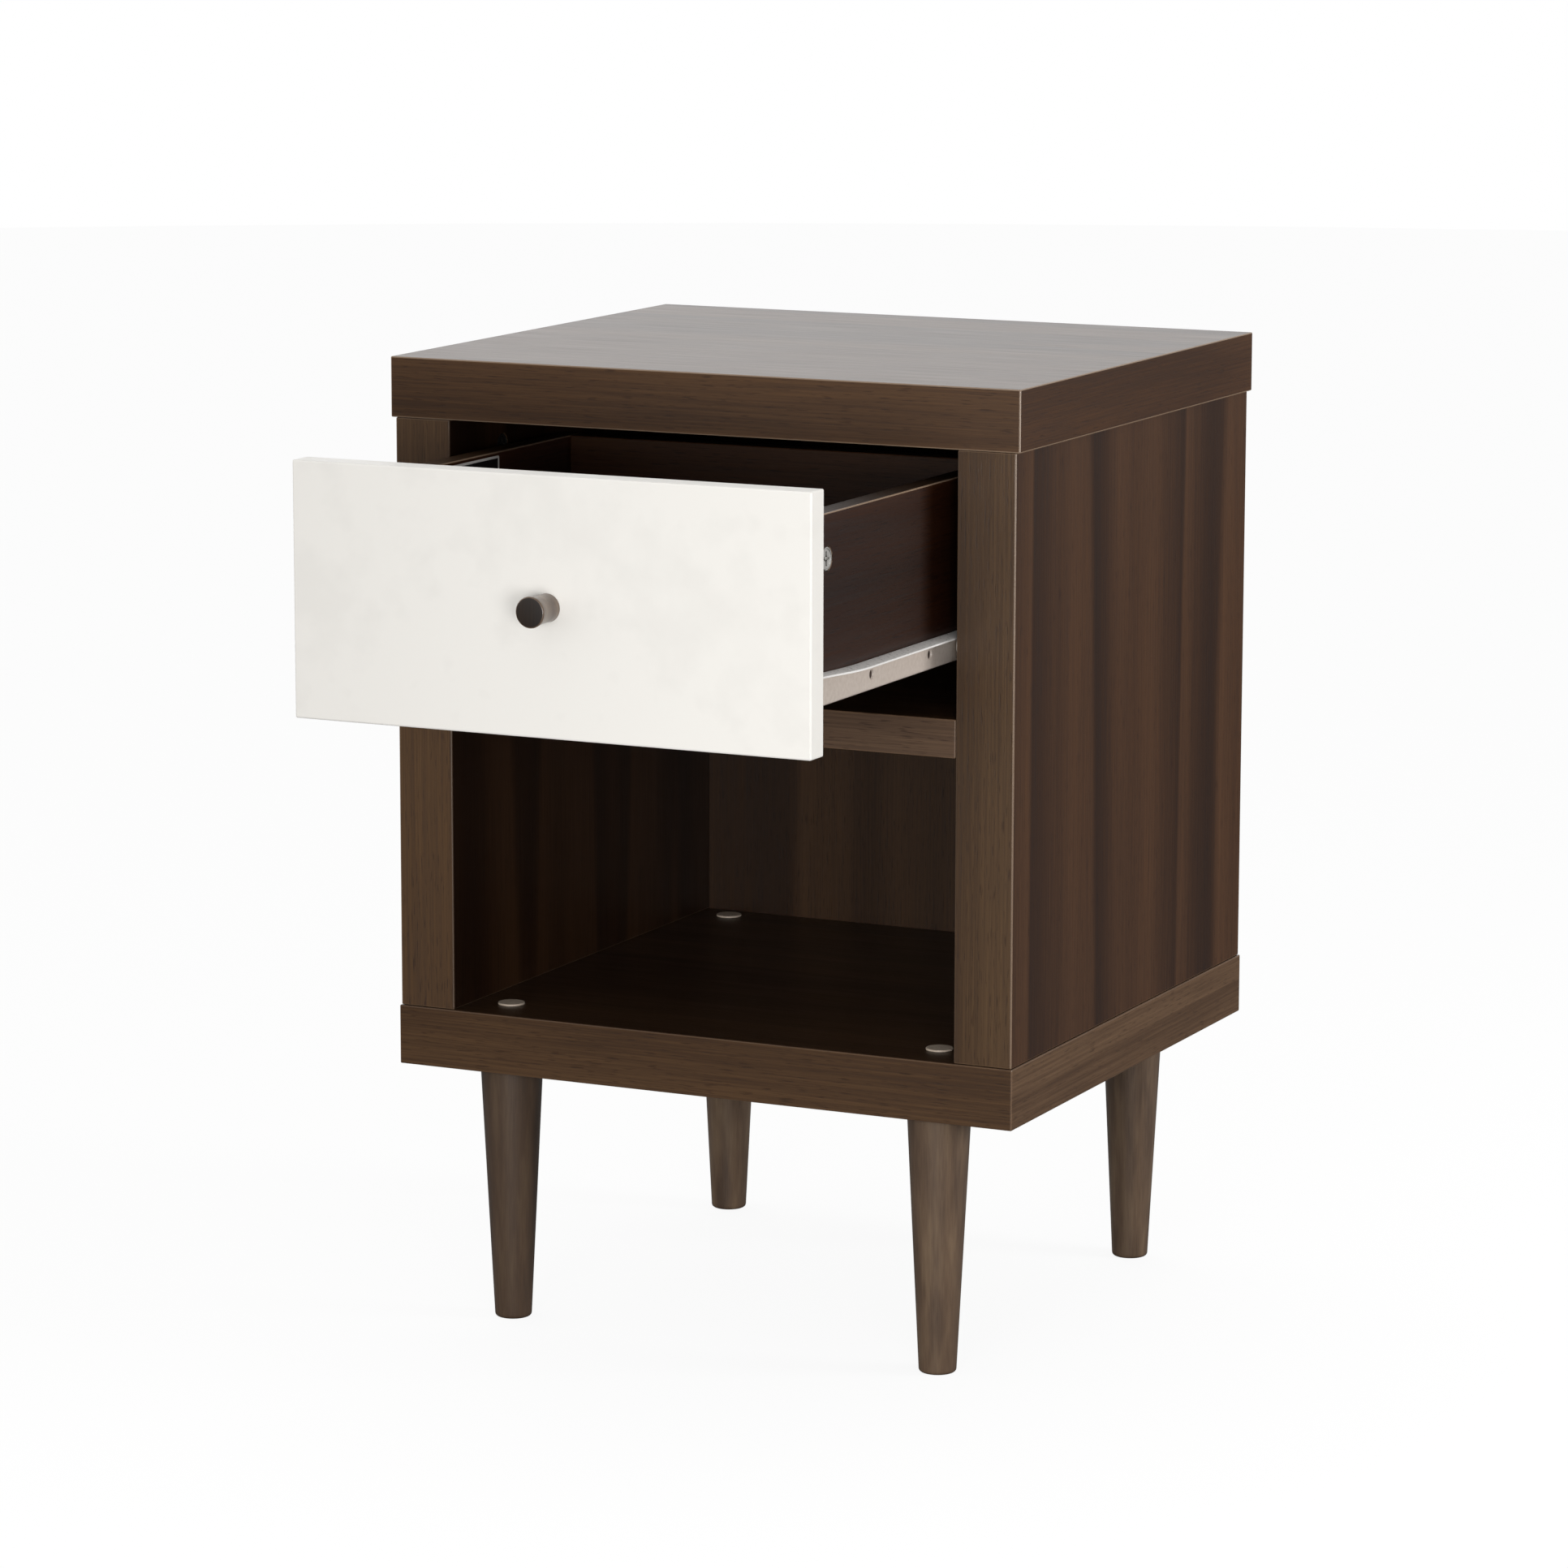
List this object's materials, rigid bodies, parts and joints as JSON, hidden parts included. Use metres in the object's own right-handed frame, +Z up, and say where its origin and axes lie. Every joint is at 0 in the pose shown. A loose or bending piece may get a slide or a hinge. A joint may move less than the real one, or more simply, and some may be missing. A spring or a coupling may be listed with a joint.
{
  "type": "side table with drawer",
  "caption": "Boxy side table with an inset pull-out drawer on roller slides above an open cubby, raised on tapered round legs.",
  "frame": {"origin": "on the floor, in the middle of the whole box in X and Y, with the drawer drawn out as in the picture and its knob included", "axes": "+X to the right of someone facing the drawer, +Y from the drawer front to the back panel, +Z up"},
  "size_m": [0.45, 0.6302, 0.65],
  "materials": {
    "walnut_board": "walnut-look laminate with a fine straight grain, satin",
    "walnut_hardboard": "thin board with a dark walnut-look print, matt",
    "drawer_board": "dark walnut-look laminate, satin, with a paler raw edge line",
    "white_board": "white painted board, satin, eased edges",
    "stained_wood": "solid wood turned and stained dark brown, satin lacquer",
    "beech_dowel": "plain fluted beech, unfinished",
    "zinc_steel": "zinc-plated steel",
    "zinc_casting": "die-cast zinc, dull",
    "rail_enamel": "off-white baked enamel on rolled steel",
    "nylon": "natural white nylon",
    "cap_plastic": "beige moulded plastic"
  },
  "bodies": {
    "cabinet": {"top_panel": "walnut_board", "base_panel": "walnut_board", "left_side_panel": "walnut_board", "right_side_panel": "walnut_board", "divider_shelf": "walnut_board", "back_panel": "walnut_hardboard", "leg_front_left": "stained_wood", "leg_rear_left": "stained_wood", "leg_front_right": "stained_wood", "leg_rear_right": "stained_wood", "leg_insert_front_left": "zinc_steel", "leg_insert_rear_left": "zinc_steel", "leg_insert_front_right": "zinc_steel", "leg_insert_rear_right": "zinc_steel", "leg_bolt_front_left": "zinc_steel", "leg_bolt_rear_left": "zinc_steel", "leg_bolt_front_right": "zinc_steel", "leg_bolt_rear_right": "zinc_steel", "bolt_cap_front_left": "cap_plastic", "bolt_cap_rear_left": "cap_plastic", "bolt_cap_front_right": "cap_plastic", "bolt_cap_rear_right": "cap_plastic", "top_cam_front_left": "zinc_casting", "top_cam_rear_left": "zinc_casting", "top_cam_front_right": "zinc_casting", "top_cam_rear_right": "zinc_casting", "top_cam_bolt_front_left": "zinc_steel", "top_cam_bolt_rear_left": "zinc_steel", "top_cam_bolt_front_right": "zinc_steel", "top_cam_bolt_rear_right": "zinc_steel", "base_screw_front_left": "zinc_steel", "base_screw_rear_left": "zinc_steel", "base_screw_front_right": "zinc_steel", "base_screw_rear_right": "zinc_steel", "divider_dowel_front_left": "beech_dowel", "divider_dowel_rear_left": "beech_dowel", "divider_dowel_front_right": "beech_dowel", "divider_dowel_rear_right": "beech_dowel", "cabinet_rail_left": "rail_enamel", "cabinet_rail_right": "rail_enamel"},
    "drawer": {"drawer_front": "white_board", "drawer_left_side": "drawer_board", "drawer_right_side": "drawer_board", "drawer_back": "drawer_board", "drawer_bottom": "walnut_hardboard", "knob": "stained_wood", "knob_screw": "zinc_steel", "drawer_cam_left": "zinc_casting", "drawer_cam_right": "zinc_casting", "drawer_cam_bolt_left": "zinc_steel", "drawer_cam_bolt_right": "zinc_steel", "drawer_rail_left": "rail_enamel", "drawer_rail_right": "rail_enamel"},
    "front_roller_left_wheel": {"front_roller_left": "nylon"},
    "front_roller_right_wheel": {"front_roller_right": "nylon"},
    "rear_roller_left_wheel": {"rear_roller_left": "nylon"},
    "rear_roller_right_wheel": {"rear_roller_right": "nylon"}
  },
  "joints": [
    {"name": "drawer_slide", "type": "slide", "parent": "cabinet", "child": "drawer", "axis": [0, -1, 0], "range_m": [-0.208, 0.018]},
    {"name": "front_roller_left_spin", "type": "hinge", "parent": "cabinet", "child": "front_roller_left_wheel", "pos_m": [-0.1762, -0.0554, 0.481], "axis": [1, 0, 0], "range_deg": [-1592, 140]},
    {"name": "rear_roller_left_spin", "type": "hinge", "parent": "drawer", "child": "rear_roller_left_wheel", "pos_m": [-0.1753, 0.0213, 0.4783], "axis": [1, 0, 0], "range_deg": [-1592, 140]},
    {"name": "front_roller_right_spin", "type": "hinge", "parent": "cabinet", "child": "front_roller_right_wheel", "pos_m": [0.1762, -0.0554, 0.481], "axis": [1, 0, 0], "range_deg": [-1592, 140]},
    {"name": "rear_roller_right_spin", "type": "hinge", "parent": "drawer", "child": "rear_roller_right_wheel", "pos_m": [0.1753, 0.0213, 0.4783], "axis": [1, 0, 0], "range_deg": [-1592, 140]}
  ],
  "couplings": [
    {"joint": "front_roller_left_spin", "follows": "drawer_slide", "rad_per_m": 133.33},
    {"joint": "rear_roller_left_spin", "follows": "drawer_slide", "rad_per_m": 133.33},
    {"joint": "front_roller_right_spin", "follows": "drawer_slide", "rad_per_m": 133.33},
    {"joint": "rear_roller_right_spin", "follows": "drawer_slide", "rad_per_m": 133.33}
  ]
}
